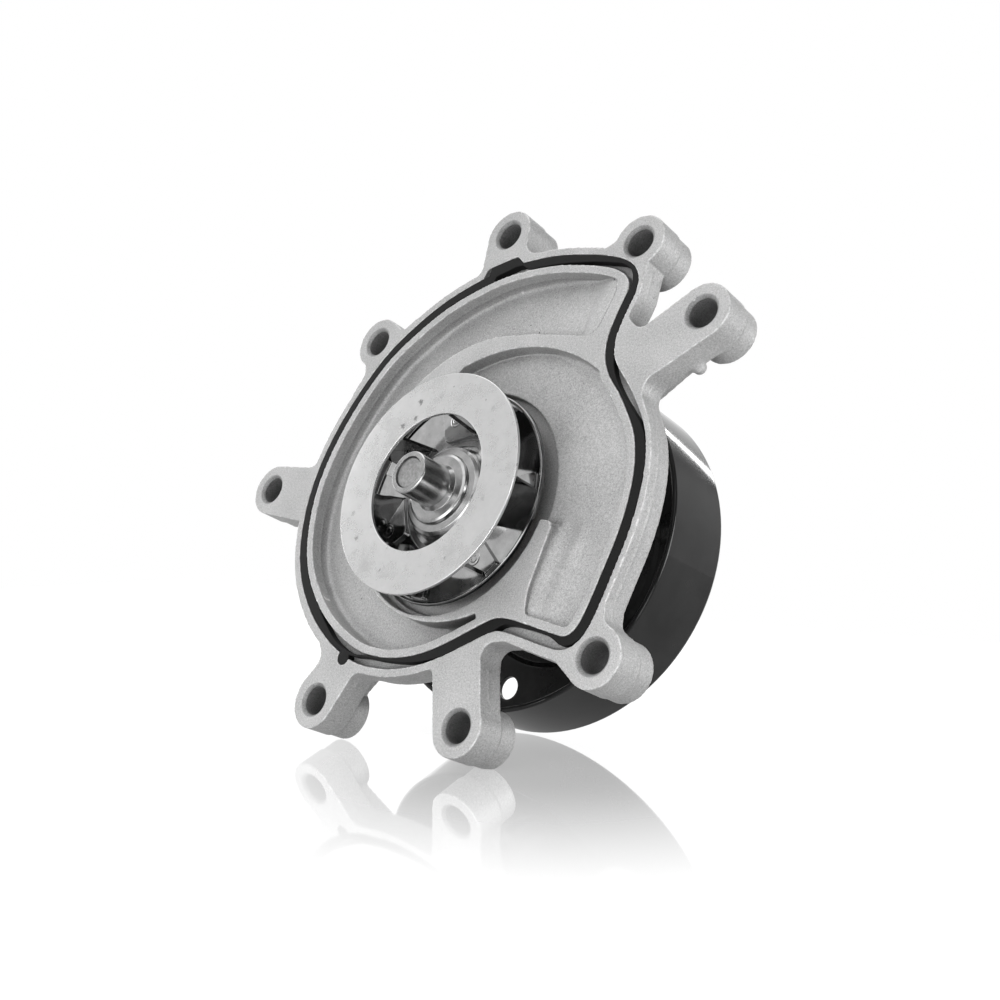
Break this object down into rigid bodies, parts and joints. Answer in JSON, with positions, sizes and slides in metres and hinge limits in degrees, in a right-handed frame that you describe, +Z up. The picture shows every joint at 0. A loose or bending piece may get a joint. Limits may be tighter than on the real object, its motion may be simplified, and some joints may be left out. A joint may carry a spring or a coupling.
{
  "type": "engine coolant pump",
  "caption": "Engine coolant pump: cast volute flange with bolt lugs and a groove seal, closed sheet-metal impeller, and a smooth black belt pulley on a bearing shaft.",
  "frame": {"origin": "where the shaft axis crosses the machined mounting face", "axes": "+Y along the shaft from the engine side to the pulley, +X to the right as seen from the engine side, +Z up to the top lug"},
  "size_m": [0.2273, 0.0994, 0.2184],
  "materials": {
    "cast_aluminium": "sand-textured die casting with a machined face",
    "black_rubber": "matt",
    "zinc_steel": "satin",
    "bearing_steel": "polished",
    "dark_steel": "dull",
    "cage_brass": "satin",
    "shaft_steel": "ground",
    "seal_carbon": "lapped",
    "seal_ceramic": "lapped",
    "bright_sheet": "bright stamped sheet",
    "satin_sheet": "satin stamped sheet",
    "black_coat": "gloss black coat"
  },
  "bodies": {
    "housing": {"housing": "cast_aluminium", "volute_gasket": "black_rubber", "weep_plug": "zinc_steel", "bearing_outer_race": "bearing_steel", "bearing_seal_front": "black_rubber", "bearing_seal_rear": "black_rubber", "bearing_retaining_ring": "dark_steel", "seal_case": "cage_brass", "seal_bellows": "black_rubber", "seal_spring": "bearing_steel", "seal_carbon_ring": "seal_carbon"},
    "rotor": {"pump_shaft": "shaft_steel", "slinger": "black_rubber", "seal_seat_ring": "seal_ceramic", "seal_seat_rubber": "black_rubber", "impeller_hub": "bright_sheet", "impeller_back_plate": "bright_sheet", "impeller_vanes": "bright_sheet", "impeller_front_ring": "satin_sheet", "impeller_spot_welds": "dark_steel", "pulley_hub": "dark_steel", "pulley_shell": "black_coat"},
    "ball_set_front": {"balls_front": "bearing_steel", "ball_cage_front": "cage_brass"},
    "ball_set_rear": {"balls_rear": "bearing_steel", "ball_cage_rear": "cage_brass"}
  },
  "joints": [
    {"name": "shaft_spin", "type": "hinge", "parent": "housing", "child": "rotor", "pos_m": [0, 0.03, 0], "axis": [0, 1, 0], "continuous": true},
    {"name": "ball_set_front_orbit", "type": "hinge", "parent": "housing", "child": "ball_set_front", "pos_m": [0, 0.04, 0], "axis": [0, 1, 0], "continuous": true},
    {"name": "ball_set_rear_orbit", "type": "hinge", "parent": "housing", "child": "ball_set_rear", "pos_m": [0, 0.06, 0], "axis": [0, 1, 0], "continuous": true}
  ],
  "couplings": [
    {"joint": "ball_set_front_orbit", "follows": "shaft_spin", "ratio": 0.3756},
    {"joint": "ball_set_rear_orbit", "follows": "shaft_spin", "ratio": 0.3756}
  ]
}
